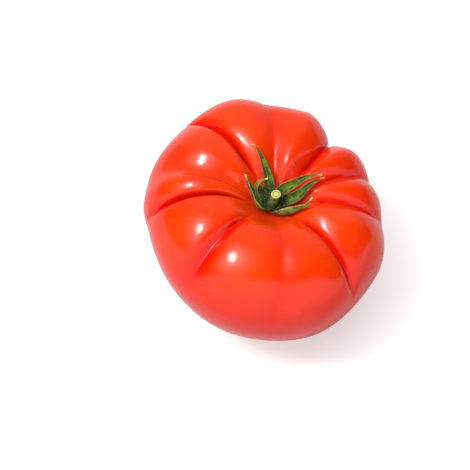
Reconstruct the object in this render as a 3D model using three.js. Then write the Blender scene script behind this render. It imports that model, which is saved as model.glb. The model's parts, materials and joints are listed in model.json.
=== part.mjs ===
// A ribbed beefsteak tomato as picked, with its green calyx and a short cut stem.
//
// Millimetres, +Z up, +X to the right, +Y to the back. The stem axis is Z, and the
// fruit rests on z = 0 with the centre of its flat spot at the origin.
//
// The fruit is one solid. The calyx hub, the cut stem and the six sepals are pieces
// of their own, which keep a small gap to each other and to the skin.

import * as THREE from 'three';

// ------------------------------------------------------------ driving dimensions

const WAIST_HEIGHT = 37;    // widest ring of the fruit above the ground
const CROWN_RISE = 29.5;    // crown above the waist, before the dimple and the bowl
const BASE_DROP = 38;       // base below the waist; the last millimetre is flattened

// The profile is an ellipse made fuller: the side by a power of the cosine, the
// shoulder and the base by a share of the height.
const SIDE_POWER = 0.88;
const ROUNDING = 0.10;
// Latitudes between which the base's height gives way to the crown's, in degrees.
const WAIST_BLEND = { from: -45, to: 25 };

// The steep dimple round the stem, and the wide bowl round it. The bowl is wider on one
// side, by a share of its radius, and that side lies at a bearing in degrees.
const DIMPLE = { depth: 6.5, radius: 13, power: 3.2 };
const BOWL = { depth: 12, radius: 25, stretch: 0.3, bearing: 60 };
// How much higher the bowl's rim stands on its high side, and that side's bearing.
const RIM_LIFT = { most: 5, bearing: 95 };
// Climb from the waist, as a sine, over which the dimple and the bowl set in.
const CROWN_EDGE = 0.3;

// The grooves, anticlockwise seen from above, each with the lobe that follows it. A groove
// is a crease in the middle of a broad hollow.
//   bearing  direction of the groove on the shoulder, degrees from +X towards +Y
//   swing    turn of the groove between shoulder and waist, degrees
//   hollow   depth of the hollow on the shoulder
//   waist    share of the hollow's depth left at the waist
//   crease   depth of the crease below the hollow
//   width    width of the crease, as a share of the lobe's
//   runOut   latitude where the crease has run out, degrees
//   reach    radius of the following lobe at the waist
const GROOVES = [
  { bearing: -4, swing: -3, hollow: 2.8, waist: 0.5, crease: 2.0, width: 0.22, runOut: 0, reach: 44.6 },
  { bearing: 22, swing: -2, hollow: 3.0, waist: 0.5, crease: 2.0, width: 0.22, runOut: 0, reach: 45.5 },
  { bearing: 51, swing: 6, hollow: 5.0, waist: 0.9, crease: 3.0, width: 0.18, runOut: -40, reach: 50.7 },
  { bearing: 91, swing: 8, hollow: 2.0, waist: 0.4, crease: 0.8, width: 0.30, runOut: 0, reach: 57.5 },
  { bearing: 127, swing: 14, hollow: 1.8, waist: 0.2, crease: 4.4, width: 0.14, runOut: 15, reach: 55.3 },
  { bearing: 162, swing: 0, hollow: 2.9, waist: 0, crease: 0, width: 0.30, runOut: 0, reach: 54 },
  { bearing: 182, swing: 3, hollow: 0.9, waist: 0.5, crease: 4.4, width: 0.12, runOut: 12, reach: 50.5 },
  { bearing: 225, swing: 5, hollow: 0.6, waist: 0.2, crease: 3.0, width: 0.26, runOut: 15, reach: 51.5 },
  { bearing: 275, swing: -12, hollow: 0.3, waist: 0.7, crease: 0.9, width: 0.35, runOut: -10, reach: 52 },
  { bearing: 315, swing: -10, hollow: 2.5, waist: 0.1, crease: 3.0, width: 0.14, runOut: 5, reach: 48.5 },
];

// Where the hollows and the creases fade out: distances from the axis in millimetres, and
// latitudes in degrees. The creases fade from the latitude where they have run out.
const HOLLOW_START = { from: 7, to: 20 };
const CREASE_START = { from: 8, to: 20 };
const SHOULDER = { from: 10, to: 55 };
const UNDERSIDE = { from: -85, to: -15 };
const CREASE_FADE = { from: -10, to: 35 };
const CREASE_ROUNDING = 3;  // roundness of a crease's floor, per width squared
const SWING_EASE = 0.02;    // how softly the grooves stop swinging at the waist

const GAP = 0.3;            // clearance between neighbouring pieces

const HUB_RADIUS = 3.7;
const HUB_TOP_RADIUS = 3;
const HUB_THICKNESS = 1.9;

const STEM_LENGTH = 6;
const STEM_RADIUS = { foot: 2.4, middle: 1.8, cut: 2.0 };
const STEM_MIDDLE = { from: 0.35, to: 0.65 };   // shares of the length
const STEM_CHAMFER = 0.3;
const STEM_LEAN = { right: 0.20, back: 0.12 };  // shift for each millimetre of height

const SEPAL_THICKNESS = 0.7;
const SEPAL_EDGE = 0.5;     // thickness of the edges, as a share of the midrib's
const SEPAL_TIP = 0.6;      // width of the tips
// Place of a sepal's foot on a half sine wave, which gives the outline and ends at the tip.
const SEPAL_FOOT = 0.28;
const SEPAL_CUP = 0.22;     // rise of the edges over the midrib, as a share of the width

// The sepals, anticlockwise from the right. A path runs along the midrib from the hub
// to the tip, and facing is the direction that the inner face of the blade looks.
const SEPALS = [
  {
    name: 'sepal_1',
    width: 2.7,
    facing: [-0.3, -0.5, 0.8],
    path: [[4.4, 0.4, 50.2], [7.0, 0.6, 52.0], [10.0, 1.0, 54.6], [13.3, 2.9, 57.6],
      [16.3, 4.6, 59.2], [19.0, 5.9, 59.8], [20.5, 5.9, 60.3]],
  },
  {
    name: 'sepal_2',
    width: 3.2,
    facing: [-0.4, -0.8, 0.4],
    path: [[3.0, 3.2, 50.6], [4.4, 4.6, 53.2], [8.2, 5.2, 56.7], [12.7, 6.1, 60.1],
      [16.4, 6.2, 61.8], [19.6, 6.3, 62.3]],
  },
  {
    name: 'sepal_3',
    width: 4.6,
    facing: [0.3, -0.7, 0.6],
    path: [[-0.9, 4.4, 50.3], [-1.6, 6.2, 52.0], [-3.1, 12.0, 57.0], [-4.9, 16.3, 60.2],
      [-7.4, 19.5, 63.5], [-8.8, 19.9, 63.4]],
  },
  {
    name: 'sepal_4',
    width: 2.2,
    facing: [0.7, -0.3, 0.6],
    path: [[-3.7, 2.4, 50.2], [-5.4, 3.8, 52.2], [-6.9, 4.7, 54.6], [-6.2, 5.7, 57.3],
      [-4.2, 6.3, 58.4], [-2.1, 6.5, 58.5]],
  },
  {
    name: 'sepal_5',
    width: 3.8,
    facing: [0.8, 0.4, 0.5],
    path: [[-3.6, -2.5, 50.2], [-6.0, -2.5, 51.6], [-8.0, 0.0, 54.8], [-9.2, 1.8, 58.2],
      [-10.5, 4.4, 62.0], [-10.9, 5.6, 63.6]],
  },
  {
    name: 'sepal_6',
    width: 3.3,
    facing: [0.0, 0.8, 0.6],
    path: [[1.0, -4.4, 50.2], [3.6, -5.9, 51.7], [7.0, -6.2, 53.6], [10.5, -5.7, 55.9],
      [13.2, -5.7, 58.2], [14.2, -4.9, 60.0], [15.6, -3.7, 61.4]],
  },
];

// ------------------------------------------------------------------- resolution

const CROWN_ROWS = 20;
const BASE_ROWS = 14;
const POLE_CROWDING = 1.25; // rows crowd towards both ends of the axis
// Places across a lobe, from its groove at 0 to the next at 1, crowded at the grooves.
const ACROSS = [0, 0.03, 0.07, 0.13, 0.22, 0.35, 0.5, 0.65, 0.78, 0.87, 0.93, 0.97];
const SEPAL_STEPS = 16;
// Places across a sepal, from one edge at -1 over the midrib to the other edge at 1.
const SEPAL_ACROSS = [-1, -0.5, 0, 0.5, 1];
const ROUND_SEGMENTS = 28;

// ------------------------------------------------------------------------ fruit

const radians = THREE.MathUtils.degToRad;
const QUARTER_TURN = Math.PI / 2;

function rimLift(bearing) {
  return RIM_LIFT.most * ((1 + Math.cos(bearing - radians(RIM_LIFT.bearing))) / 2) ** 2;
}

// Depth of the dimple and the bowl below the crown.
function sunkDepth(radius, bearing) {
  const stretch = 1 + BOWL.stretch * Math.cos(bearing - radians(BOWL.bearing));
  const depth = BOWL.depth + rimLift(bearing);
  const bowl = depth * Math.exp(-((radius / (BOWL.radius * stretch)) ** 2));
  return DIMPLE.depth * Math.exp(-((radius / DIMPLE.radius) ** DIMPLE.power)) + bowl;
}

// Half-width, height and outward direction of the bare profile, without grooves.
function profile(reach, latitude, bearing) {
  const point = (angle) => {
    const climb = Math.sin(angle);
    const degrees = THREE.MathUtils.radToDeg(angle);
    const blend = THREE.MathUtils.smoothstep(degrees, WAIST_BLEND.from, WAIST_BLEND.to);
    const span = THREE.MathUtils.lerp(BASE_DROP, CROWN_RISE + rimLift(bearing), blend);
    const radius = reach * Math.max(Math.cos(angle), 0) ** SIDE_POWER;
    const height = span * climb * (1 + ROUNDING * (1 - Math.abs(climb)));
    const crown = THREE.MathUtils.smoothstep(climb, 0, CROWN_EDGE);
    return [radius, WAIST_HEIGHT + height - crown * sunkDepth(radius, bearing)];
  };
  const step = 0.001;
  const [radius, height] = point(latitude);
  const [radiusBelow, heightBelow] = point(Math.max(latitude - step, -QUARTER_TURN));
  const [radiusAbove, heightAbove] = point(Math.min(latitude + step, QUARTER_TURN));
  const length = Math.hypot(radiusAbove - radiusBelow, heightAbove - heightBelow);
  const outward = (heightAbove - heightBelow) / length;
  const upward = (radiusBelow - radiusAbove) / length;
  return { radius, height, outward, upward };
}

// Bearing of a groove at a latitude: it swings round between shoulder and waist, and
// keeps its bearing on the underside.
function grooveBearing(groove, latitude) {
  const climb = Math.sin(latitude);
  const height = (climb + Math.sqrt(climb ** 2 + SWING_EASE)) / 2;
  return radians(groove.bearing + groove.swing * (Math.SQRT1_2 - height));
}

// Share of the hollow's depth across a lobe: 1 in the groove, 0 on the lobe's crest.
function hollowSection(across) {
  return Math.cos(Math.PI * across) ** 2;
}

function creaseSection(groove, across) {
  const floor = CREASE_ROUNDING * groove.width ** 2;
  const away = Math.hypot(Math.sin(Math.PI * across), floor) - floor;
  const low = Math.exp((floor - Math.hypot(1, floor)) / groove.width);
  return (Math.exp(-away / groove.width) - low) / (1 - low);
}

// Share of the hollow's depth along the groove, from the dimple down to the base.
function hollowFade(groove, radius, latitude) {
  const degrees = THREE.MathUtils.radToDeg(latitude);
  const start = THREE.MathUtils.smoothstep(radius, HOLLOW_START.from, HOLLOW_START.to);
  const shoulder = THREE.MathUtils.smoothstep(degrees, SHOULDER.from, SHOULDER.to);
  const underside = THREE.MathUtils.smoothstep(degrees, UNDERSIDE.from, UNDERSIDE.to);
  const top = latitude > 0 ? start : 1;
  return top * underside * (groove.waist + (1 - groove.waist) * shoulder);
}

function creaseFade(groove, radius, latitude) {
  const degrees = THREE.MathUtils.radToDeg(latitude) - groove.runOut;
  const start = THREE.MathUtils.smoothstep(radius, CREASE_START.from, CREASE_START.to);
  const top = latitude > 0 ? start : 1;
  return top * THREE.MathUtils.smoothstep(degrees, CREASE_FADE.from, CREASE_FADE.to);
}

function fruitPoint(lobe, across, latitude) {
  const count = GROOVES.length;
  const here = GROOVES[lobe];
  const next = GROOVES[(lobe + 1) % count];
  const previous = GROOVES[(lobe + count - 1) % count];
  const start = grooveBearing(here, latitude);
  const turn = lobe + 1 === count ? 2 * Math.PI : 0;
  const bearing = start + across * (grooveBearing(next, latitude) + turn - start);

  const neighbour = across < 0.5 ? previous : next;
  const blend = (1 - Math.cos(Math.PI * (across - 0.5))) / 2;
  const reach = here.reach + blend * (neighbour.reach - here.reach);
  const { radius, height, outward, upward } = profile(reach, latitude, bearing);

  const groove = across < 0.5 ? here : next;
  const hollow = hollowSection(across) * hollowFade(groove, radius, latitude);
  const crease = creaseSection(groove, across) * creaseFade(groove, radius, latitude);
  const sink = groove.hollow * hollow + groove.crease * crease;
  const out = Math.max(radius - outward * sink, 0);
  const up = Math.max(height - upward * sink, 0);
  return [out * Math.cos(bearing), out * Math.sin(bearing), up];
}

// Latitudes of the rings of points, from below upwards, without the two poles.
function fruitLatitudes() {
  const latitudes = [];
  for (let row = 1; row <= BASE_ROWS; row += 1) {
    latitudes.push(QUARTER_TURN * ((row / BASE_ROWS) ** POLE_CROWDING - 1));
  }
  for (let row = CROWN_ROWS - 1; row >= 1; row -= 1) {
    latitudes.push(QUARTER_TURN * (1 - (row / CROWN_ROWS) ** POLE_CROWDING));
  }
  return latitudes;
}

function fruitGeometry() {
  const positions = [0, 0, 0];
  const triangles = [];
  const rings = fruitLatitudes();
  const columns = GROOVES.length * ACROSS.length;
  for (const latitude of rings) {
    for (let lobe = 0; lobe < GROOVES.length; lobe += 1) {
      for (const across of ACROSS) {
        positions.push(...fruitPoint(lobe, across, latitude));
      }
    }
  }
  positions.push(...fruitPoint(0, 0, QUARTER_TURN));
  const top = 1 + rings.length * columns;
  const at = (ring, column) => 1 + ring * columns + (column % columns);
  for (let column = 0; column < columns; column += 1) {
    triangles.push(0, at(0, column + 1), at(0, column));
    triangles.push(top, at(rings.length - 1, column), at(rings.length - 1, column + 1));
    for (let ring = 0; ring + 1 < rings.length; ring += 1) {
      triangles.push(at(ring, column), at(ring, column + 1), at(ring + 1, column + 1));
      triangles.push(at(ring, column), at(ring + 1, column + 1), at(ring + 1, column));
    }
  }
  return closedGeometry(positions, triangles);
}

// ------------------------------------------------------------------ calyx, stem

// Height of the skin near the stem, where no groove reaches, on its high side.
function skinHeight(radius) {
  const bearing = radians(BOWL.bearing + 180);
  return WAIST_HEIGHT + CROWN_RISE + rimLift(bearing) - sunkDepth(radius, bearing);
}

// A disc whose underside follows the bottom of the dimple.
function hubGeometry() {
  const edge = skinHeight(HUB_RADIUS) + GAP;
  const top = skinHeight(0) + GAP + HUB_THICKNESS;
  const outline = [
    [0, skinHeight(0) + GAP],
    [HUB_RADIUS / 2, skinHeight(HUB_RADIUS / 2) + GAP],
    [HUB_RADIUS, edge],
    [HUB_RADIUS, (edge + top) / 2],
    [HUB_TOP_RADIUS, top],
    [0, top],
  ];
  return turned(outline);
}

// A short round stub, which flares at its foot and again under the cut.
function stemGeometry() {
  const outline = [
    [0, 0],
    [STEM_RADIUS.foot, 0],
    [STEM_RADIUS.middle, STEM_LENGTH * STEM_MIDDLE.from],
    [STEM_RADIUS.middle, STEM_LENGTH * STEM_MIDDLE.to],
    [STEM_RADIUS.cut, STEM_LENGTH - STEM_CHAMFER],
    [STEM_RADIUS.cut - STEM_CHAMFER, STEM_LENGTH],
    [0, STEM_LENGTH],
  ];
  const lean = new THREE.Matrix4().makeShear(0, 0, 0, 0, STEM_LEAN.right, STEM_LEAN.back);
  return turned(outline).applyMatrix4(lean);
}

// Half-width of a sepal at a share of its length: full near the hub, drawn out to a point.
function sepalHalfWidth(width, along) {
  const phase = THREE.MathUtils.lerp(SEPAL_FOOT, 1, along);
  return Math.max(width * Math.sin(Math.PI * phase), SEPAL_TIP) / 2;
}

// A thin, cupped blade along its path. Each section runs over the inner face from one
// edge to the other and back along the outer face.
function sepalGeometry({ path, width, facing }) {
  const midrib = new THREE.CatmullRomCurve3(path.map((place) => new THREE.Vector3(...place)));
  const inner = new THREE.Vector3(...facing).normalize();
  const positions = [];
  for (let step = 0; step <= SEPAL_STEPS; step += 1) {
    const along = step / SEPAL_STEPS;
    const centre = midrib.getPointAt(along);
    const tangent = midrib.getTangentAt(along);
    const sideways = new THREE.Vector3().crossVectors(tangent, inner).normalize();
    const normal = new THREE.Vector3().crossVectors(sideways, tangent).normalize();
    const half = sepalHalfWidth(width, along);
    const put = (station, lift) => {
      const rise = SEPAL_CUP * 2 * half * station ** 2 + lift;
      const place = centre.clone().addScaledVector(sideways, half * station);
      positions.push(...place.addScaledVector(normal, rise).toArray());
    };
    const halfThickness = (station) => {
      return (SEPAL_THICKNESS / 2) * (1 - (1 - SEPAL_EDGE) * Math.abs(station));
    };
    for (const station of SEPAL_ACROSS) {
      put(station, halfThickness(station));
    }
    for (const station of [...SEPAL_ACROSS].reverse()) {
      put(station, -halfThickness(station));
    }
  }
  return closedGeometry(positions, tubeTriangles(2 * SEPAL_ACROSS.length, SEPAL_STEPS));
}

// Triangles of a tube of sections with the same number of points, with flat ends.
function tubeTriangles(around, steps) {
  const triangles = [];
  const at = (step, place) => step * around + (place % around);
  for (let step = 0; step < steps; step += 1) {
    for (let place = 0; place < around; place += 1) {
      triangles.push(at(step, place), at(step, place + 1), at(step + 1, place + 1));
      triangles.push(at(step, place), at(step + 1, place + 1), at(step + 1, place));
    }
  }
  for (let place = 0; place < around / 2 - 1; place += 1) {
    const opposite = around - 1 - place;
    triangles.push(at(0, place), at(0, opposite), at(0, opposite - 1));
    triangles.push(at(0, place), at(0, opposite - 1), at(0, place + 1));
    triangles.push(at(steps, place), at(steps, opposite - 1), at(steps, opposite));
    triangles.push(at(steps, place), at(steps, place + 1), at(steps, opposite - 1));
  }
  return triangles;
}

// --------------------------------------------------------------------- assembly

function closedGeometry(positions, triangles) {
  const geometry = new THREE.BufferGeometry();
  geometry.setAttribute('position', new THREE.Float32BufferAttribute(positions, 3));
  geometry.setIndex(triangles);
  geometry.computeVertexNormals();
  return geometry;
}

// A solid of revolution about Z, from an outline of radius and height.
function turned(outline) {
  const points = outline.map(([radius, height]) => new THREE.Vector2(radius, height));
  return new THREE.LatheGeometry(points, ROUND_SEGMENTS).rotateX(QUARTER_TURN);
}

function finish(colour, roughness) {
  return new THREE.MeshStandardMaterial({ color: colour, roughness, metalness: 0 });
}

const SKIN = finish(0xd93a1e, 0.28);
const GREEN = finish(0x4d7232, 0.6);
const DARK_GREEN = finish(0x36501f, 0.65);
const PALE_GREEN = finish(0x8f9650, 0.6);

function piece(name, geometry, material) {
  const mesh = new THREE.Mesh(geometry, material);
  mesh.name = name;
  return mesh;
}

const tomato = new THREE.Group();
tomato.add(piece('fruit', fruitGeometry(), SKIN));
tomato.add(piece('calyx_hub', hubGeometry(), DARK_GREEN));

const stem = piece('cut_stem', stemGeometry(), PALE_GREEN);
stem.position.z = skinHeight(0) + HUB_THICKNESS + 2 * GAP;
tomato.add(stem);

for (const sepal of SEPALS) {
  tomato.add(piece(sepal.name, sepalGeometry(sepal), GREEN));
}

export default tomato;
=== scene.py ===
"""A ribbed beefsteak tomato with its green calyx, on a pale floor in soft studio light.

Metres, +Z up. The stem axis is Z, and the fruit rests on z = 0 with its flat spot at the
origin. The camera stands at the front, on the -Y side, and looks down on the fruit.
"""

import json
import math
import random

import bpy
import numpy as np
from mathutils import Matrix, Vector

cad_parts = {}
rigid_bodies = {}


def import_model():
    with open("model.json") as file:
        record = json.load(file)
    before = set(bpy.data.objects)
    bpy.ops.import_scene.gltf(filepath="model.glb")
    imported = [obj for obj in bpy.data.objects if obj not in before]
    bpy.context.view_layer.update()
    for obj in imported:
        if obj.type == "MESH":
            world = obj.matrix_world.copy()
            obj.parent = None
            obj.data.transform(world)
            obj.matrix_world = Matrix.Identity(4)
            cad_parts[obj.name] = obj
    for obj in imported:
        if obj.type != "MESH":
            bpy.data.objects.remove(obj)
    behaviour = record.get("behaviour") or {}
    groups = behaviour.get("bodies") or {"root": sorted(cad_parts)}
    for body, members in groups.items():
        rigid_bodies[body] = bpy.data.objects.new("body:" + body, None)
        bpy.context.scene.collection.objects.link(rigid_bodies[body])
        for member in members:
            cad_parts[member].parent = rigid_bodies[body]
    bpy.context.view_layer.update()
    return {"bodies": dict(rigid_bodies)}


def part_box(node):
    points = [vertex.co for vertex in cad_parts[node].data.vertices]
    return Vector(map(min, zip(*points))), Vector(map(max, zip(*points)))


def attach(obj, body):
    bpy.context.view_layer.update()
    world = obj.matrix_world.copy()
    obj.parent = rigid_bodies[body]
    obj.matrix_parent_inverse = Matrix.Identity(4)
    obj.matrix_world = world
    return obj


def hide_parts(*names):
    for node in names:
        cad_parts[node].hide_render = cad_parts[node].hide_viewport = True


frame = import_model()
(BODY,) = frame["bodies"]    # the part has no joints, so it has one body
MM = 0.001

# ---------------------------------------------------------------- the fruit's shape

WAIST_HEIGHT = 37 * MM       # widest ring of the fruit above the ground
CROWN_RISE = 29.5 * MM       # crown above the waist, before the dimple and the bowl
BASE_DROP = 38 * MM          # base below the waist; the last millimetre is flattened
SIDE_POWER = 0.88            # fullness of the side
ROUNDING = 0.10              # fullness of the shoulder and the base
WAIST_BLEND = (-45, 25)      # latitudes where the base's height gives way to the crown's

DIMPLE_DEPTH = 6.5 * MM      # steep dimple round the stem
DIMPLE_RADIUS = 13 * MM
DIMPLE_POWER = 3.2
BOWL_DEPTH = 12 * MM         # wide shallow bowl round the dimple
BOWL_RADIUS = 25 * MM
BOWL_STRETCH = 0.3           # share by which the bowl is wider on its wide side
BOWL_BEARING = 60            # bearing of the wide side, in degrees
RIM_LIFT = 5 * MM            # how much higher the bowl's rim stands on its high side
LIFT_BEARING = 95
CROWN_EDGE = 0.3             # climb from the waist over which dimple and bowl set in

# The grooves, anticlockwise seen from above, each with the lobe that follows it: bearing
# near latitude 45, and its swing as the sine of the latitude falls by 1, in degrees; depth
# of the broad hollow, and the share of it at the waist; depth of the crease in it, the
# crease's width where half a lobe counts as 1, and the latitude near which it runs out;
# and the following lobe's radius at the waist.
GROOVES = [
    (-4, -3, 2.8 * MM, 0.5, 2.0 * MM, 0.22, 0, 44.6 * MM),
    (22, -2, 3.0 * MM, 0.5, 2.0 * MM, 0.22, 0, 45.5 * MM),
    (51, 6, 5.0 * MM, 0.9, 3.0 * MM, 0.18, -40, 50.7 * MM),
    (91, 8, 2.0 * MM, 0.4, 0.8 * MM, 0.30, 0, 57.5 * MM),
    (127, 14, 1.8 * MM, 0.2, 4.4 * MM, 0.14, 15, 55.3 * MM),
    (162, 0, 2.9 * MM, 0.0, 0.0 * MM, 0.30, 0, 54.0 * MM),
    (182, 3, 0.9 * MM, 0.5, 4.4 * MM, 0.12, 12, 50.5 * MM),
    (225, 5, 0.6 * MM, 0.2, 3.0 * MM, 0.26, 15, 51.5 * MM),
    (275, -12, 0.3 * MM, 0.7, 0.9 * MM, 0.35, -10, 52.0 * MM),
    (315, -10, 2.5 * MM, 0.1, 3.0 * MM, 0.14, 5, 48.5 * MM),
]
BEARING, SWING, HOLLOW, WAIST, CREASE, WIDTH, RUN_OUT, REACH = (
    np.array(column) for column in zip(*GROOVES))

SWING_CENTRE = math.sqrt(0.5)      # sine of the latitude where a groove has its own bearing
SWING_EASE = 0.02                  # softness of the swing's end at the waist
HOLLOW_START = (7 * MM, 20 * MM)   # distances from the axis over which the hollows set in
CREASE_START = (8 * MM, 20 * MM)   # and the creases
SHOULDER = (10, 55)                # latitudes over which the hollows reach their full depth
UNDERSIDE = (-85, -15)             # latitudes over which they fade towards the base
CREASE_FADE = (-10, 35)            # degrees past its run-out over which a crease sets in
CREASE_ROUNDING = 3                # roundness of a crease's floor, per width squared
CREASE_SHADE_FULL = 2 * MM               # depth of crease that takes the full painted shade

SCAR_RADIUS = 3.2 * MM             # dry scar at the blossom end
SCAR_HOLLOW = 0.9 * MM

COLUMNS_PER_LOBE = 36
ROWS = 180
COLUMN_CROWDING = 0.8              # how much the columns draw together at the grooves
ROW_CROWDING = 1.25                # and the rows at both poles, as a power
LATITUDE_STEP = 0.001              # to take the slope of the skin, in radians


def smoothstep(value, start, end):
    share = np.clip((value - start) / (end - start), 0, 1)
    return share * share * (3 - 2 * share)


def rim_lift(bearing):
    return RIM_LIFT * ((1 + np.cos(bearing - math.radians(LIFT_BEARING))) / 2) ** 2


def dimple(radius, bearing):
    """Depth of the dimple and the bowl below the crown."""
    stretch = 1 + BOWL_STRETCH * np.cos(bearing - math.radians(BOWL_BEARING))
    bowl = np.exp(-((radius / (BOWL_RADIUS * stretch)) ** 2))
    steep = np.exp(-((radius / DIMPLE_RADIUS) ** DIMPLE_POWER))
    return DIMPLE_DEPTH * steep + (BOWL_DEPTH + rim_lift(bearing)) * bowl


def skin_height(radius):
    """Height of the skin near the stem, where no groove reaches, away from the bowl's
    wide side."""
    bearing = math.radians(BOWL_BEARING + 180)
    return WAIST_HEIGHT + CROWN_RISE + rim_lift(bearing) - dimple(radius, bearing)


def profile_point(reach, latitude, bearing):
    """Distance from the axis and height of a point on the fruit without its grooves."""
    climb = np.sin(latitude)
    blend = smoothstep(np.degrees(latitude), *WAIST_BLEND)
    span = BASE_DROP + (CROWN_RISE + rim_lift(bearing) - BASE_DROP) * blend
    radius = reach * np.maximum(np.cos(latitude), 0) ** SIDE_POWER
    height = span * climb * (1 + ROUNDING * (1 - np.abs(climb)))
    sunk = smoothstep(climb, 0, CROWN_EDGE) * dimple(radius, bearing)
    return radius, WAIST_HEIGHT + height - sunk


def groove_bearing(groove, latitude):
    """Bearing of a groove, in radians. It swings above the waist and holds still below."""
    climb = np.sin(latitude)
    height = (climb + np.sqrt(climb ** 2 + SWING_EASE)) / 2
    return np.radians(BEARING[groove] + SWING[groove] * (SWING_CENTRE - height))


def crease_section(groove, across):
    """Share of a crease's depth across a lobe: 1 in the groove, 0 on the lobe's crest."""
    floor = CREASE_ROUNDING * WIDTH[groove] ** 2
    away = np.hypot(np.sin(np.pi * across), floor) - floor
    low = np.exp((floor - np.hypot(1, floor)) / WIDTH[groove])
    return (np.exp(-away / WIDTH[groove]) - low) / (1 - low)


def hollow_fade(groove, radius, latitude):
    degrees = np.degrees(latitude)
    top = np.where(degrees > 0, smoothstep(radius, *HOLLOW_START), 1)
    shoulder = smoothstep(degrees, *SHOULDER)
    return top * smoothstep(degrees, *UNDERSIDE) * (
        WAIST[groove] + (1 - WAIST[groove]) * shoulder)


def crease_fade(groove, radius, latitude):
    degrees = np.degrees(latitude) - RUN_OUT[groove]
    top = np.where(latitude > 0, smoothstep(radius, *CREASE_START), 1)
    return top * smoothstep(degrees, *CREASE_FADE)


def fruit_points(lobe, across, latitude):
    """Points on the skin, and how deep in a crease each one lies, from 0 to 1, which sets the
    painted shade in the creases.
    """
    count = len(GROOVES)
    following = (lobe + 1) % count
    start = groove_bearing(lobe, latitude)
    turn = np.where(following == 0, 2 * np.pi, 0)
    bearing = start + across * (groove_bearing(following, latitude) + turn - start)

    first_half = across < 0.5
    neighbour = np.where(first_half, (lobe - 1) % count, following)
    blend = (1 - np.cos(np.pi * (across - 0.5))) / 2
    reach = REACH[lobe] + blend * (REACH[neighbour] - REACH[lobe])
    radius, height = profile_point(reach, latitude, bearing)
    below = profile_point(reach, np.maximum(latitude - LATITUDE_STEP, -np.pi / 2), bearing)
    above = profile_point(reach, np.minimum(latitude + LATITUDE_STEP, np.pi / 2), bearing)
    run, climb = above[0] - below[0], above[1] - below[1]
    length = np.hypot(run, climb)

    # The hollow and the crease go in at right angles to the profile.
    groove = np.where(first_half, lobe, following)
    hollow = np.cos(np.pi * across) ** 2 * hollow_fade(groove, radius, latitude)
    crease = crease_section(groove, across) * crease_fade(groove, radius, latitude)
    sink = HOLLOW[groove] * hollow + CREASE[groove] * crease
    out = np.maximum(radius - sink * climb / length, 0)
    up = np.maximum(height + sink * run / length, 0)

    scar = SCAR_HOLLOW * np.exp(-((out / (2 * SCAR_RADIUS)) ** 2))
    up = up + np.where(latitude < 0, scar, 0)
    depth = np.clip(CREASE[groove] * crease / CREASE_SHADE_FULL, 0, 1)
    return out * np.cos(bearing), out * np.sin(bearing), up, depth


# ---------------------------------------------------------------------- mesh helpers

def add_object(name, vertices, faces, attributes=None):
    mesh = bpy.data.meshes.new(name)
    mesh.from_pydata(vertices, [], faces)
    for key, values in (attributes or {}).items():
        layer = mesh.attributes.new(key, "FLOAT", "POINT")
        layer.data.foreach_set("value", np.asarray(values, dtype=np.float32))
    mesh.validate()
    mesh.shade_smooth()
    piece = bpy.data.objects.new(name, mesh)
    bpy.context.collection.objects.link(piece)
    return piece


def grid_faces(rows, columns, start=0):
    """Quads of rows of points that close on themselves, facing out when the rows climb
    and the points run anticlockwise."""
    faces = []
    for row in range(rows - 1):
        low = start + row * columns
        high = low + columns
        for column in range(columns):
            after = (column + 1) % columns
            faces.append((low + column, low + after, high + after, high + column))
    return faces


def cap_faces(first_row, last_row, columns, bottom, top):
    """Triangles from the first and the last row of points to a point at either end."""
    faces = []
    for column in range(columns):
        after = (column + 1) % columns
        faces.append((bottom, first_row + after, first_row + column))
        faces.append((last_row + column, last_row + after, top))
    return faces


def declare(piece, node, material):
    piece.data.materials.append(material)
    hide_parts(node)
    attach(piece, BODY)
    return piece


# ------------------------------------------------------------------ material helpers

class Nodes:
    """Short calls to build the node tree of a material or a world."""

    def __init__(self, owner, shader="Principled BSDF"):
        owner.use_nodes = True
        self.owner = owner
        self.tree = owner.node_tree
        self.shader = self.tree.nodes[shader]

    def add(self, kind, **settings):
        node = self.tree.nodes.new(kind)
        for key, value in settings.items():
            setattr(node, key, value)
        return node

    def feed(self, source, target):
        """Link another node's socket to the target, or set the target to a plain value."""
        if isinstance(source, bpy.types.NodeSocket):
            self.tree.links.new(source, target)
        else:
            target.default_value = source

    def place(self):
        return self.add("ShaderNodeTexCoord").outputs["Object"]

    def attribute(self, name):
        return self.add("ShaderNodeAttribute", attribute_name=name).outputs["Fac"]

    def camera_ray(self):
        """1 where the camera sees the surface itself, and 0 for its light and reflection."""
        return self.add("ShaderNodeLightPath").outputs["Is Camera Ray"]

    def math(self, operation, *values):
        node = self.add("ShaderNodeMath", operation=operation)
        for socket, value in zip(node.inputs, values):
            self.feed(value, socket)
        return node.outputs[0]

    def ramp(self, value, start, end, low=0.0, high=1.0):
        """A smooth step from low at start to high at end, where start is below end."""
        node = self.add("ShaderNodeMapRange", interpolation_type="SMOOTHSTEP")
        for socket, number in zip(node.inputs, (value, start, end, low, high)):
            self.feed(number, socket)
        return node.outputs[0]

    def noise(self, place, scale, detail, roughness=0.5):
        node = self.add("ShaderNodeTexNoise")
        self.feed(place, node.inputs["Vector"])
        self.feed(scale, node.inputs["Scale"])
        self.feed(detail, node.inputs["Detail"])
        self.feed(roughness, node.inputs["Roughness"])
        return node.outputs["Fac"]

    def mix(self, share, first, second):
        node = self.add("ShaderNodeMix", data_type="RGBA")
        self.feed(share, node.inputs[0])
        self.feed(first, node.inputs[6])
        self.feed(second, node.inputs[7])
        return node.outputs[2]

    def paint(self, base, *layers):
        """The base colour with layers over it in turn, each a share and a colour."""
        for share, shade in layers:
            base = self.mix(share, base, shade)
        return base

    def bump(self, height, strength, distance):
        node = self.add("ShaderNodeBump")
        self.feed(height, node.inputs["Height"])
        self.feed(strength, node.inputs["Strength"])
        self.feed(distance, node.inputs["Distance"])
        return node.outputs["Normal"]

    def set(self, **values):
        for key, value in values.items():
            self.feed(value, self.shader.inputs[key.replace("_", " ")])
        return self.owner


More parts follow.
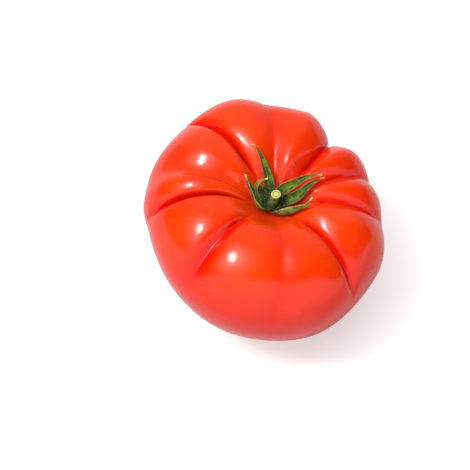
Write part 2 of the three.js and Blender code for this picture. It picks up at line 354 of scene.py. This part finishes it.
def colour(red, green, blue):
    """A colour given in 0 to 255 display values, as linear light."""
    linear = [c / 255 / 12.92 if c <= 10 else ((c / 255 + 0.055) / 1.055) ** 2.4
              for c in (red, green, blue)]
    return (*linear, 1.0)


# ----------------------------------------------------------------------- materials

# Scales of the noise and of the speckled cells, per metre.
SKIN_PATCHES = 38.0
SPECK_GROUPS = 60.0
SKIN_SPECKS = 560.0
SCAR_NOISE = 600.0
SKIN_GRAIN = 900.0
LEAF_PATCHES = 330.0
LEAF_MOTTLE = 520.0
LEAF_GRAIN = 1300.0
LEAF_HAIRS = 1700.0
STEM_MOTTLE = 700.0
CUT_BLOTCHES = 1200.0
STEM_GRAIN = 1500.0

NEAR_STEM = (6 * MM, 26 * MM)      # distances from the axis over which the orange fades out
LOW_SHADE_HEIGHTS = (34 * MM, 62 * MM)      # heights over which the crimson of painted shade and floor reflection fades out
SPECK_EDGE = (0.10, 0.24)          # distances from its middle over which a speck fades out
SCAR_EDGE = (3.0 * MM, 4.6 * MM)   # distances from the axis over which the scar fades out
SCAR_RAGGED = 2.4 * MM             # how far noise draws that edge in


def skin_material():
    """Glossy skin: orange by the stem, a darker crimson low down painted as shade and floor
    reflection, and deep red painted as shade in the creases, with fine pale specks and a dry
    scar underneath."""
    n = Nodes(bpy.data.materials.new("skin"))
    place = n.place()
    apart = n.add("ShaderNodeSeparateXYZ")
    n.feed(place, apart.inputs[0])
    x, y, z = apart.outputs
    radius = n.math("SQRT", n.math("ADD", n.math("MULTIPLY", x, x), n.math("MULTIPLY", y, y)))

    red = colour(234, 50, 0)
    orange = colour(242, 80, 0)
    low_shade_crimson = colour(208, 30, 30)
    crease_shade_red = colour(214, 2, 0)
    pale_speck = colour(244, 140, 70)
    dry = colour(150, 112, 66)

    patches = n.ramp(n.noise(place, SKIN_PATCHES, 2.0), 0.35, 0.70, 0.0, 0.35)
    near_stem = n.ramp(radius, *NEAR_STEM, 0.25, 0.0)
    # painted shade and floor reflection: the skin turns a darker crimson with some blue low
    # down
    low_shade = n.ramp(z, *LOW_SHADE_HEIGHTS, 1.0, 0.0)
    # painted shade: the skin darkens to deep red down in the creases
    crease_shade = n.math("MULTIPLY", n.attribute("groove"), 0.85)

    cells = n.add("ShaderNodeTexVoronoi", feature="F1")
    n.feed(place, cells.inputs["Vector"])
    n.feed(SKIN_SPECKS, cells.inputs["Scale"])
    dots = n.ramp(cells.outputs["Distance"], *SPECK_EDGE, 1.0, 0.0)
    groups = n.ramp(n.noise(place, SPECK_GROUPS, 1.0), 0.42, 0.66, 0.0, 0.20)
    specks = n.math("MULTIPLY", dots, groups)

    ragged = n.math("MULTIPLY", n.noise(place, SCAR_NOISE, 3.0), SCAR_RAGGED)
    scar = n.ramp(n.math("ADD", radius, ragged), *SCAR_EDGE, 1.0, 0.0)
    scar = n.math("MULTIPLY", scar, n.math("LESS_THAN", z, WAIST_HEIGHT))

    base = n.paint(red, (patches, orange), (near_stem, orange), (low_shade, low_shade_crimson),
                   (crease_shade, crease_shade_red), (specks, pale_speck), (scar, dry))
    return n.set(
        Base_Color=base, Roughness=0.40, IOR=1.42, Specular_IOR_Level=0.0,
        Normal=n.bump(n.noise(place, SKIN_GRAIN, 2.0), 0.05, 0.2 * MM),
        Subsurface_Weight=0.25, Subsurface_Radius=(1.0, 0.12, 0.02), Subsurface_Scale=3.0 * MM,
        Coat_Weight=0.95, Coat_Roughness=0.15, Coat_IOR=1.45)


def leafy(n, base):
    """The matt, finely hairy surface that the sepals and the hub share."""
    return n.set(
        Base_Color=base, Roughness=0.6, IOR=1.4, Specular_IOR_Level=0.3,
        Normal=n.bump(n.noise(n.place(), LEAF_GRAIN, 3.0), 0.4, 0.25 * MM),
        Subsurface_Weight=0.10, Subsurface_Radius=(0.5, 1.0, 0.3), Subsurface_Scale=0.6 * MM,
        Sheen_Weight=0.08, Sheen_Roughness=0.5)


def sepal_material():
    """Mottled green blade with a paler outer face, midrib and edge, a hairy foot darkened with
    painted shade, and a dry pale tip."""
    n = Nodes(bpy.data.materials.new("sepal_green"))
    place = n.place()
    along = n.attribute("along")
    across = n.math("ABSOLUTE", n.attribute("across"))

    inner_face = n.ramp(n.attribute("face"), -0.2, 0.2)
    mottle = n.ramp(n.noise(place, LEAF_MOTTLE, 4.0, 0.6), 0.42, 0.68, 0.0, 0.70)
    patches = n.ramp(n.noise(place, LEAF_PATCHES, 2.0), 0.42, 0.62, 0.0, 0.75)
    midrib = n.ramp(across, 0.04, 0.16, 0.45, 0.0)
    edge = n.ramp(across, 0.80, 1.0, 0.0, 0.55)
    # painted shade: the blade darkens almost to black towards its foot, down in the dimple
    foot = n.ramp(along, 0.02, 0.32, 0.90, 0.0)
    hairs = n.math("MULTIPLY", n.ramp(n.noise(place, LEAF_HAIRS, 2.0), 0.54, 0.66),
                   n.ramp(along, 0.10, 0.40, 0.45, 0.0))
    tip = n.ramp(along, 0.88, 1.0)
    return leafy(n, n.paint(
        colour(112, 122, 46),
        (inner_face, colour(78, 104, 22)),
        (mottle, colour(122, 140, 44)),
        (patches, colour(40, 50, 14)),
        (midrib, colour(128, 142, 62)),
        (edge, colour(170, 158, 92)),
        (foot, colour(26, 30, 8)),
        (hairs, colour(150, 156, 112)),
        (tip, colour(236, 186, 128))))


def hub_material():
    return leafy(Nodes(bpy.data.materials.new("calyx_green")), colour(50, 66, 22))


def stem_material():
    """Mottled green stub, darkened towards its foot with painted shade, and a pale cut face
    with a darker ring.
    """
    n = Nodes(bpy.data.materials.new("stem"))
    place = n.place()
    along = n.attribute("along")
    across = n.attribute("across")

    from_ring = n.math("ABSOLUTE", n.math("SUBTRACT", across, 0.48))
    ring = n.ramp(from_ring, 0.05, 0.17, 0.70, 0.0)
    rim = n.ramp(across, 0.72, 0.98)
    blotches = n.ramp(n.noise(place, CUT_BLOTCHES, 2.0), 0.45, 0.62, 0.0, 0.50)
    cut = n.paint(
        colour(214, 204, 122),
        (ring, colour(116, 116, 40)),
        (rim, colour(176, 176, 96)),
        (blotches, colour(146, 142, 60)))

    mottle = n.ramp(n.noise(place, STEM_MOTTLE, 4.0), 0.36, 0.64)
    # painted shade: the stub darkens towards its foot among the sepals
    foot = n.ramp(along, 0.05, 0.70, 0.85, 0.0)
    cut_face = n.ramp(along, 0.985, 0.995)
    base = n.paint(
        colour(70, 82, 28),
        (mottle, colour(150, 154, 84)),
        (foot, colour(44, 56, 18)),
        (cut_face, cut))
    return n.set(
        Base_Color=base, Roughness=0.5, IOR=1.4,
        Normal=n.bump(n.noise(place, STEM_GRAIN, 3.0), 0.3, 0.2 * MM),
        Subsurface_Weight=0.2, Subsurface_Radius=(0.8, 1.0, 0.3), Subsurface_Scale=0.8 * MM)


# ---------------------------------------------------------------------------- fruit

def make_fruit():
    columns = len(GROOVES) * COLUMNS_PER_LOBE
    even = np.arange(COLUMNS_PER_LOBE) / COLUMNS_PER_LOBE
    crowded = even - np.sin(2 * np.pi * even) / (2 * np.pi) * COLUMN_CROWDING
    lobe, across = (grid.ravel() for grid in np.meshgrid(
        np.arange(len(GROOVES)), crowded, indexing="ij"))
    share = np.arange(1, ROWS) / ROWS * 2 - 1
    latitude = np.sign(share) * np.pi / 2 * (1 - (1 - np.abs(share)) ** ROW_CROWDING)
    x, y, z, groove = fruit_points(
        np.tile(lobe, ROWS - 1), np.tile(across, ROWS - 1), np.repeat(latitude, columns))

    bottom = (0, 0, SCAR_HOLLOW)
    top = (0, 0, skin_height(0))
    vertices = [bottom, *np.column_stack((x, y, z)).tolist(), top]
    first_row, last_row = 1, 1 + (ROWS - 2) * columns
    faces = grid_faces(ROWS - 1, columns, first_row)
    faces += cap_faces(first_row, last_row, columns, 0, len(vertices) - 1)
    # the groove attribute carries each point's crease depth, for the painted crease shade
    fruit = add_object("tomato_fruit", vertices, faces, {"groove": [0, *groove, 0]})
    return declare(fruit, "fruit", skin_material())


# --------------------------------------------------------------------------- sepals

# Each sepal has the width of its foot in mm, how far it cups, the direction that its inner
# face looks beyond the foot, and its midrib from the hub to the tip in mm, as in the CAD
# model. At the foot every inner face looks at the stem.
SEPALS = {
    "sepal_1": (4.6, 0.28, (-0.3, -0.5, 0.8), [
        (2.6, 0.2, 49.9), (4.4, 0.4, 50.2), (7.0, 0.6, 52.0), (10.0, 1.0, 54.6),
        (13.3, 2.9, 57.6), (16.3, 4.6, 59.2), (19.0, 5.9, 59.8), (20.5, 5.9, 60.3)]),
    "sepal_2": (4.4, 0.40, (-0.5, -0.6, 0.7), [
        (1.8, 1.8, 49.9), (3.0, 3.2, 50.6), (4.4, 4.6, 53.2), (8.2, 5.2, 56.7),
        (12.7, 6.1, 60.1), (16.4, 6.2, 61.8), (19.6, 6.3, 62.3)]),
    "sepal_3": (4.3, 0.22, (0.5, -0.6, 0.6), [
        (-0.5, 2.6, 49.9), (-0.9, 4.4, 50.3), (-1.6, 6.2, 52.0), (-3.1, 12.0, 57.0),
        (-4.9, 16.3, 60.2), (-7.4, 19.5, 63.5), (-8.8, 19.9, 63.4)]),
    "sepal_4": (4.6, 0.34, (0.8, -0.2, -0.2), [
        (-2.2, 1.4, 49.9), (-3.7, 2.4, 50.2), (-5.4, 3.8, 52.2), (-6.9, 4.7, 54.6),
        (-6.2, 5.7, 57.3), (-4.2, 6.3, 58.4), (-2.1, 6.5, 58.5)]),
    "sepal_5": (5.6, 0.40, (0.85, 0.15, 0.5), [
        (-2.2, -1.5, 49.9), (-3.6, -2.5, 50.2), (-6.0, -2.5, 51.6), (-8.0, 0.0, 54.8),
        (-9.2, 1.8, 58.2), (-10.5, 4.4, 62.0), (-10.9, 5.6, 63.6)]),
    "sepal_6": (4.8, 0.36, (0.0, 0.9, 0.1), [
        (0.6, -2.6, 49.9), (1.0, -4.4, 50.2), (3.6, -5.9, 51.7), (7.0, -6.2, 53.6),
        (10.5, -5.7, 55.9), (13.2, -5.7, 58.2), (14.2, -4.9, 60.0), (15.6, -3.7, 61.4)]),
}
SPAN_STEPS = 24              # steps of the curve between two points of a midrib
SEPAL_STEPS = 72
SEPAL_STATIONS = 17          # points across one face of the blade
SEPAL_BELLY = 0.12           # share by which the blade bulges half-way
SEPAL_TAPER = 1.1            # how early it narrows, as a power
SEPAL_TIP = 0.25 * MM        # half-width of the dry tip

FOOT_STEP = 8                # step where the foot's inner face is aimed at the stem
FOOT_AIM = 6 * MM            # how far above that step it aims
FOOT_SCALE = 9 * MM          # distance that counts as 1 in its direction
FOOT_TURN = (0.1, 0.5)       # shares of the length over which the inner face turns away

EDGE_WAVES = ((0.14, 8), (0.05, 23))   # height by half-width, and radians by length
EDGE_SWAY = 0.05             # how much the waves also widen the blade
SEPAL_THICKNESS = 0.5 * MM
EDGE_THINNING = 0.36         # by thickness, as are the next three
RIB_HEIGHT = 0.45            # of the midrib on the outer face
RIB_GROOVE = 0.225           # of the groove over it in the inner face
VEIN_HEIGHT = 0.10
RIB_WIDTH = 0.13             # by half-width
VEIN_TURNS = 3.5             # half-waves of the veins from the midrib to the edge


def smooth_path(points, count):
    """Points at even steps along a Catmull-Rom curve through the given points."""
    ends = [2 * points[0] - points[1], *points, 2 * points[-1] - points[-2]]
    fine = []
    for before, start, end, after in zip(ends, ends[1:], ends[2:], ends[3:]):
        for step in range(SPAN_STEPS):
            t = step / SPAN_STEPS
            fine.append(0.5 * (2 * start + (end - before) * t
                               + (2 * before - 5 * start + 4 * end - after) * t ** 2
                               + (3 * start - before - 3 * end + after) * t ** 3))
    fine.append(points[-1])
    fine = np.array(fine)
    length = np.concatenate(([0], np.cumsum(np.linalg.norm(np.diff(fine, axis=0), axis=1))))
    places = np.linspace(0, length[-1], count)
    return np.column_stack([np.interp(places, length, fine[:, axis]) for axis in range(3)])


def sepal_half_width(width, share):
    """Half-width at a share of the length: full at the foot, drawn out to a narrow tip."""
    belly = 1 + SEPAL_BELLY * math.sin(math.pi * share)
    return max(width / 2 * belly * math.cos(math.pi / 2 * share) ** SEPAL_TAPER, SEPAL_TIP)


def blade_point(station, side, half, cup, wave):
    """Distance sideways from the midrib and height above it. The station runs from -1 to 1
    across the blade, and the side is 1 for the inner face and -1 for the outer one."""
    edge = abs(station)
    rib = math.exp(-((station / RIB_WIDTH) ** 2))
    veins = math.cos(VEIN_TURNS * math.pi * station) ** 2
    relief = -RIB_GROOVE * rib if side > 0 else RIB_HEIGHT * rib + VEIN_HEIGHT * veins
    thick = 0.5 - EDGE_THINNING * edge ** 3 + relief
    rise = half * (2 * cup * station ** 2 + wave * edge ** 3)
    return half * station * (1 + EDGE_SWAY * wave), rise + side * thick * SEPAL_THICKNESS


def make_sepal(name, width_mm, cup, facing, path_mm, material):
    rng = random.Random(name)
    path = smooth_path([np.array(point) * MM for point in path_mm], SEPAL_STEPS + 1)
    tangents = np.gradient(path, axis=0)
    tangents /= np.linalg.norm(tangents, axis=1)[:, None]
    foot_x, foot_y, _ = path[FOOT_STEP]
    foot_inner = np.array((-foot_x, -foot_y, FOOT_AIM)) / FOOT_SCALE
    blade_inner = np.array(facing)
    phases = [rng.uniform(0, 6.28) for _ in range(2 * len(EDGE_WAVES))]

    # Each row of points crosses the inner face and comes back over the outer one. The two
    # edges wave on their own.
    vertices, along, across, face = [], [], [], []
    for step, (centre, tangent) in enumerate(zip(path, tangents)):
        share = step / SEPAL_STEPS
        turn = smoothstep(share, *FOOT_TURN)
        inner = foot_inner + (blade_inner - foot_inner) * turn
        sideways = np.cross(tangent, inner)
        sideways /= np.linalg.norm(sideways)
        normal = np.cross(sideways, tangent)
        half = sepal_half_width(width_mm * MM, share)
        for side in (1, -1):
            for station in np.linspace(-1, 1, SEPAL_STATIONS)[::side]:
                far_edge = int(station > 0)
                wave = sum(height * math.sin(rate * share + phases[2 * row + far_edge])
                           for row, (height, rate) in enumerate(EDGE_WAVES))
                out, up = blade_point(station, side, half, cup, wave)
                vertices.append(centre + sideways * out + normal * up)
                along.append(share)
                across.append(station)
                face.append(side)

    around = 2 * SEPAL_STATIONS
    rows = SEPAL_STEPS + 1
    faces = grid_faces(rows, around)
    faces.append(tuple(reversed(range(around))))
    faces.append(tuple(range((rows - 1) * around, rows * around)))
    piece = add_object(name + "_blade", [tuple(v) for v in vertices], faces,
                       {"along": along, "across": across, "face": face})
    return declare(piece, name, material)


# --------------------------------------------------------------------- hub and stem

HUB_SEGMENTS = 72
HUB_GAP = 0.3 * MM           # hub's underside above the skin
HUB_RIM_GAP = 0.6 * MM       # and at its rim
HUB_RIM = 0.5 * MM           # how far below the hub's top the rim starts to round over
HUB_CROWN = 0.1 * MM         # how far the hub's middle bulges above its top in the CAD model
HUB_RIPPLE = 0.05            # height of the waves round it, one for each sepal, by radius
HUB_PHASE = 0.6

STEM_SEGMENTS = 80
STEM_SINK = 0.4 * MM         # how much deeper the foot goes than in the CAD model
STEM_LEAN = (0.20, 0.12)     # slope to the right and to the back, as in the CAD model
STEM_SIDE = [                # share of the length, and radius in mm
    (0, 2.5), (0.08, 2.55), (0.2, 2.2), (0.35, 1.9), (0.5, 1.78), (0.65, 1.8), (0.8, 1.9),
    (0.9, 1.98), (0.96, 1.98), (0.99, 1.9)]
CUT_RINGS = (1.8, 1.4, 0.96, 0.5, 0.25)   # radii of the rings of points on the cut, in mm
FOOT_RIDGES = (0.05, 5, 1)   # height by radius, number and phase; they fade out upwards
STEM_RIDGES = (0.025, 9, 0)  # and the fine ones, all the way up


def turned(name, outline, segments, shape):
    """A solid turned about Z. The outline runs from the bottom to the top, and shape places
    each point, given its radius, height and angle."""
    vertices, along, across = [], [], []
    widest = max(radius for radius, _ in outline)
    lowest, highest = outline[0][1], outline[-1][1]
    for radius, height in outline[1:-1]:
        for segment in range(segments):
            vertices.append(shape(radius, height, 2 * math.pi * segment / segments))
            along.append((height - lowest) / (highest - lowest))
            across.append(radius / widest)
    rows = len(outline) - 2
    bottom, top = len(vertices), len(vertices) + 1
    vertices += [shape(0, lowest, 0), shape(0, highest, 0)]
    along += [0, 1]
    across += [0, 0]
    faces = grid_faces(rows, segments)
    faces += cap_faces(0, (rows - 1) * segments, segments, bottom, top)
    return add_object(name, vertices, faces, {"along": along, "across": across})


def make_hub():
    low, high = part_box("calyx_hub")
    radius = (high[0] - low[0]) / 2
    crown = high[2] + HUB_CROWN
    outline = [(0, low[2])]
    for share in (0.3, 0.6, 0.85):
        outline.append((radius * share, skin_height(radius * share) + HUB_GAP))
    outline += [(radius, skin_height(radius) + HUB_RIM_GAP), (radius * 0.97, high[2] - HUB_RIM),
                (radius * 0.85, high[2]), (radius * 0.6, crown), (radius * 0.3, crown),
                (0, crown)]

    def shape(reach, height, angle):
        ripple = 1 + HUB_RIPPLE * math.cos(len(SEPALS) * angle + HUB_PHASE)
        return (reach * ripple * math.cos(angle), reach * ripple * math.sin(angle), height)

    hub = turned("calyx_disc", outline, HUB_SEGMENTS, shape)
    return declare(hub, "calyx_hub", hub_material())


def make_stem():
    low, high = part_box("cut_stem")
    foot, cut = low[2] - STEM_SINK, high[2]
    length = cut - foot
    outline = [(0, foot)]
    outline += [(radius * MM, foot + share * length) for share, radius in STEM_SIDE]
    outline += [(radius * MM, cut) for radius in CUT_RINGS]
    outline.append((0, cut))

    def ridges(angle, height, count, phase):
        return height * math.cos(count * angle + phase)

    def shape(reach, height, angle):
        fade = 1 - (height - foot) / length
        swell = 1 + ridges(angle, *FOOT_RIDGES) * fade + ridges(angle, *STEM_RIDGES)
        right, back = (slope * (height - low[2]) for slope in STEM_LEAN)
        return (reach * swell * math.cos(angle) + right,
                reach * swell * math.sin(angle) + back, height)

    stem = turned("stem_stub", outline, STEM_SEGMENTS, shape)
    return declare(stem, "cut_stem", stem_material())


# ------------------------------------------------------------------ floor and light

FLOOR_HALF = 3.0
FLOOR_GLOW = 0.45            # extra light for the camera alone, as on a lit studio table

# Places in the studio are an azimuth from the front to the right and an elevation, in
# degrees. The studio leans back by the tilt, as the fruit in the photograph leans towards
# the camera on the fruit behind it.
STUDIO_TILT = 35
KEY_AT = (-43, 42)
KEY_DISTANCE = 3.0
KEY_SIZE = (0.80, 0.60)
KEY_WATTS = 33.5
FILL_AT = (-160, 80)         # without the tilt
FILL_DISTANCE = 1.2
FILL_SIZE = (1.4, 1.4)
FILL_WATTS = 7.5

GLOW_AT = (-42, 42)          # soft glow round the key light
GLOW_FOCUS = 20              # how fast it falls off
GLOW_LIGHT = 5.0
LAMP_AT = (178, 52)          # wide soft lamp over the back
LAMP_EDGE = (0.38, 0.88)     # cosines of the angle from it over which it comes up
LAMP_LIGHT = 0.50
WALL_LIGHT = 1.1             # bright walls all round
WALL_TOP = 0.10              # top of the walls at the sides, as a sine
WALL_PEAK = 0.21             # how much higher they are at the front and the back
WALL_PEAK_FULL = 0.55        # cosine squared of the angle from there where they stay high
WALL_BLUR = 0.07             # softness of their top
WALL_SHADE_AT = (-145, 0)    # dimmer stretch of the walls
WALL_SHADE_EDGE = (0.2, 0.9)     # cosines of the angle from it over which they dim
WALL_SHADE = 0.42
OVERHEAD = 0.01              # dark ceiling
BACKDROP = 1.0               # what the camera sees behind the floor
CENTRE = Vector((0, 0, WAIST_HEIGHT))   # what the softboxes aim at


def make_floor():
    half = FLOOR_HALF
    corners = [(-half, -half, 0), (half, -half, 0), (half, half, 0), (-half, half, 0)]
    floor = add_object("floor", corners, [(0, 1, 2, 3)])
    n = Nodes(bpy.data.materials.new("pale_floor"))
    floor.data.materials.append(n.set(
        Base_Color=colour(212, 211, 210), Roughness=0.6, Specular_IOR_Level=0.3,
        Emission_Color=(1, 1, 1, 1),
        Emission_Strength=n.math("MULTIPLY", n.camera_ray(), FLOOR_GLOW)))


def direction(azimuth, elevation, tilt=0):
    """Unit direction from the fruit: azimuth in degrees from the front, to the right."""
    turn, climb, back = (math.radians(angle) for angle in (azimuth, elevation, tilt))
    away = Vector((math.sin(turn) * math.cos(climb), -math.cos(turn) * math.cos(climb),
                   math.sin(climb)))
    return Matrix.Rotation(-back, 3, "X") @ away


def add_softbox(name, towards, distance, size, watts, glossy=True):
    """An oval soft light aimed at the fruit. Gloss mirrors it only where glossy is true."""
    data = bpy.data.lights.new(name, "AREA")
    data.shape = "ELLIPSE"
    data.size, data.size_y = size
    data.energy = watts
    light = bpy.data.objects.new(name, data)
    light.location = CENTRE + towards * distance
    light.rotation_euler = towards.to_track_quat("Z", "Y").to_euler()
    light.visible_glossy = glossy
    bpy.context.collection.objects.link(light)


def make_world():
    """A studio with bright walls, a dark ceiling, a soft lamp over the back and a glow
    round the key light. The camera sees a plain white backdrop instead."""
    world = bpy.data.worlds.new("studio")
    bpy.context.scene.world = world
    n = Nodes(world, "Background")
    ray = n.add("ShaderNodeTexCoord").outputs["Generated"]

    def towards(azimuth, elevation):
        dot = n.add("ShaderNodeVectorMath", operation="DOT_PRODUCT")
        n.feed(ray, dot.inputs[0])
        n.feed(tuple(direction(azimuth, elevation, STUDIO_TILT)), dot.inputs[1])
        return dot.outputs["Value"]

    front = towards(0, 0)
    peak = n.ramp(n.math("MULTIPLY", front, front), 0.0, WALL_PEAK_FULL, 0.0, WALL_PEAK)
    climb = n.math("SUBTRACT", towards(0, 90), peak)
    wall_light = n.ramp(towards(*WALL_SHADE_AT), *WALL_SHADE_EDGE, WALL_LIGHT, WALL_SHADE)
    walls = n.ramp(climb, WALL_TOP - WALL_BLUR, WALL_TOP + WALL_BLUR, wall_light, OVERHEAD)
    lamp = n.ramp(towards(*LAMP_AT), *LAMP_EDGE, 0.0, LAMP_LIGHT)
    away = n.math("SUBTRACT", towards(*GLOW_AT), 1.0)
    falloff = n.math("EXPONENT", n.math("MULTIPLY", away, GLOW_FOCUS))
    glow = n.math("MULTIPLY", falloff, GLOW_LIGHT)
    studio = n.math("MAXIMUM", walls, n.math("MAXIMUM", lamp, glow))

    seen = n.camera_ray()
    backdrop = n.math("MULTIPLY", seen, BACKDROP)
    unseen = n.math("MULTIPLY", studio, n.math("SUBTRACT", 1.0, seen))
    n.set(Strength=n.math("ADD", backdrop, unseen), Color=(1, 1, 1, 1))


# --------------------------------------------------------------------------- camera

VIEW_ELEVATION = 60
VIEW_DISTANCE = 0.56
FIELD_WIDTH = 0.19035            # what the frame's width covers at the fruit
AIM_OFFSET = (-0.0154, 0.0117)   # the frame's centre from the stem's foot, right and down


def make_camera():
    data = bpy.data.cameras.new("camera")
    data.sensor_width = 36
    data.lens = data.sensor_width * VIEW_DISTANCE / FIELD_WIDTH
    camera = bpy.data.objects.new("camera", data)
    bpy.context.collection.objects.link(camera)
    bpy.context.scene.camera = camera

    target = Vector((0, 0, skin_height(0)))
    away = direction(0, VIEW_ELEVATION)
    screen_up = direction(180, 90 - VIEW_ELEVATION)
    right, down = AIM_OFFSET
    aim = target + Vector((right, 0, 0)) - screen_up * down
    camera.location = target + away * VIEW_DISTANCE

    # Look at the target with a level horizon, and then turn to the aim without a roll.
    level = away.to_track_quat("Z", "Y")
    turn = away.rotation_difference(camera.location - aim)
    camera.rotation_euler = (turn @ level).to_euler()


# ------------------------------------------------------------------------- assembly

bpy.context.scene.view_settings.view_transform = "Standard"
make_camera()
make_fruit()
make_hub()
make_stem()
sepal_green = sepal_material()
for sepal, (foot_width, sepal_cup, sepal_facing, midrib_mm) in SEPALS.items():
    make_sepal(sepal, foot_width, sepal_cup, sepal_facing, midrib_mm, sepal_green)
make_floor()
make_world()
add_softbox("key", direction(*KEY_AT, STUDIO_TILT), KEY_DISTANCE, KEY_SIZE, KEY_WATTS)
add_softbox("fill", direction(*FILL_AT), FILL_DISTANCE, FILL_SIZE, FILL_WATTS, glossy=False)
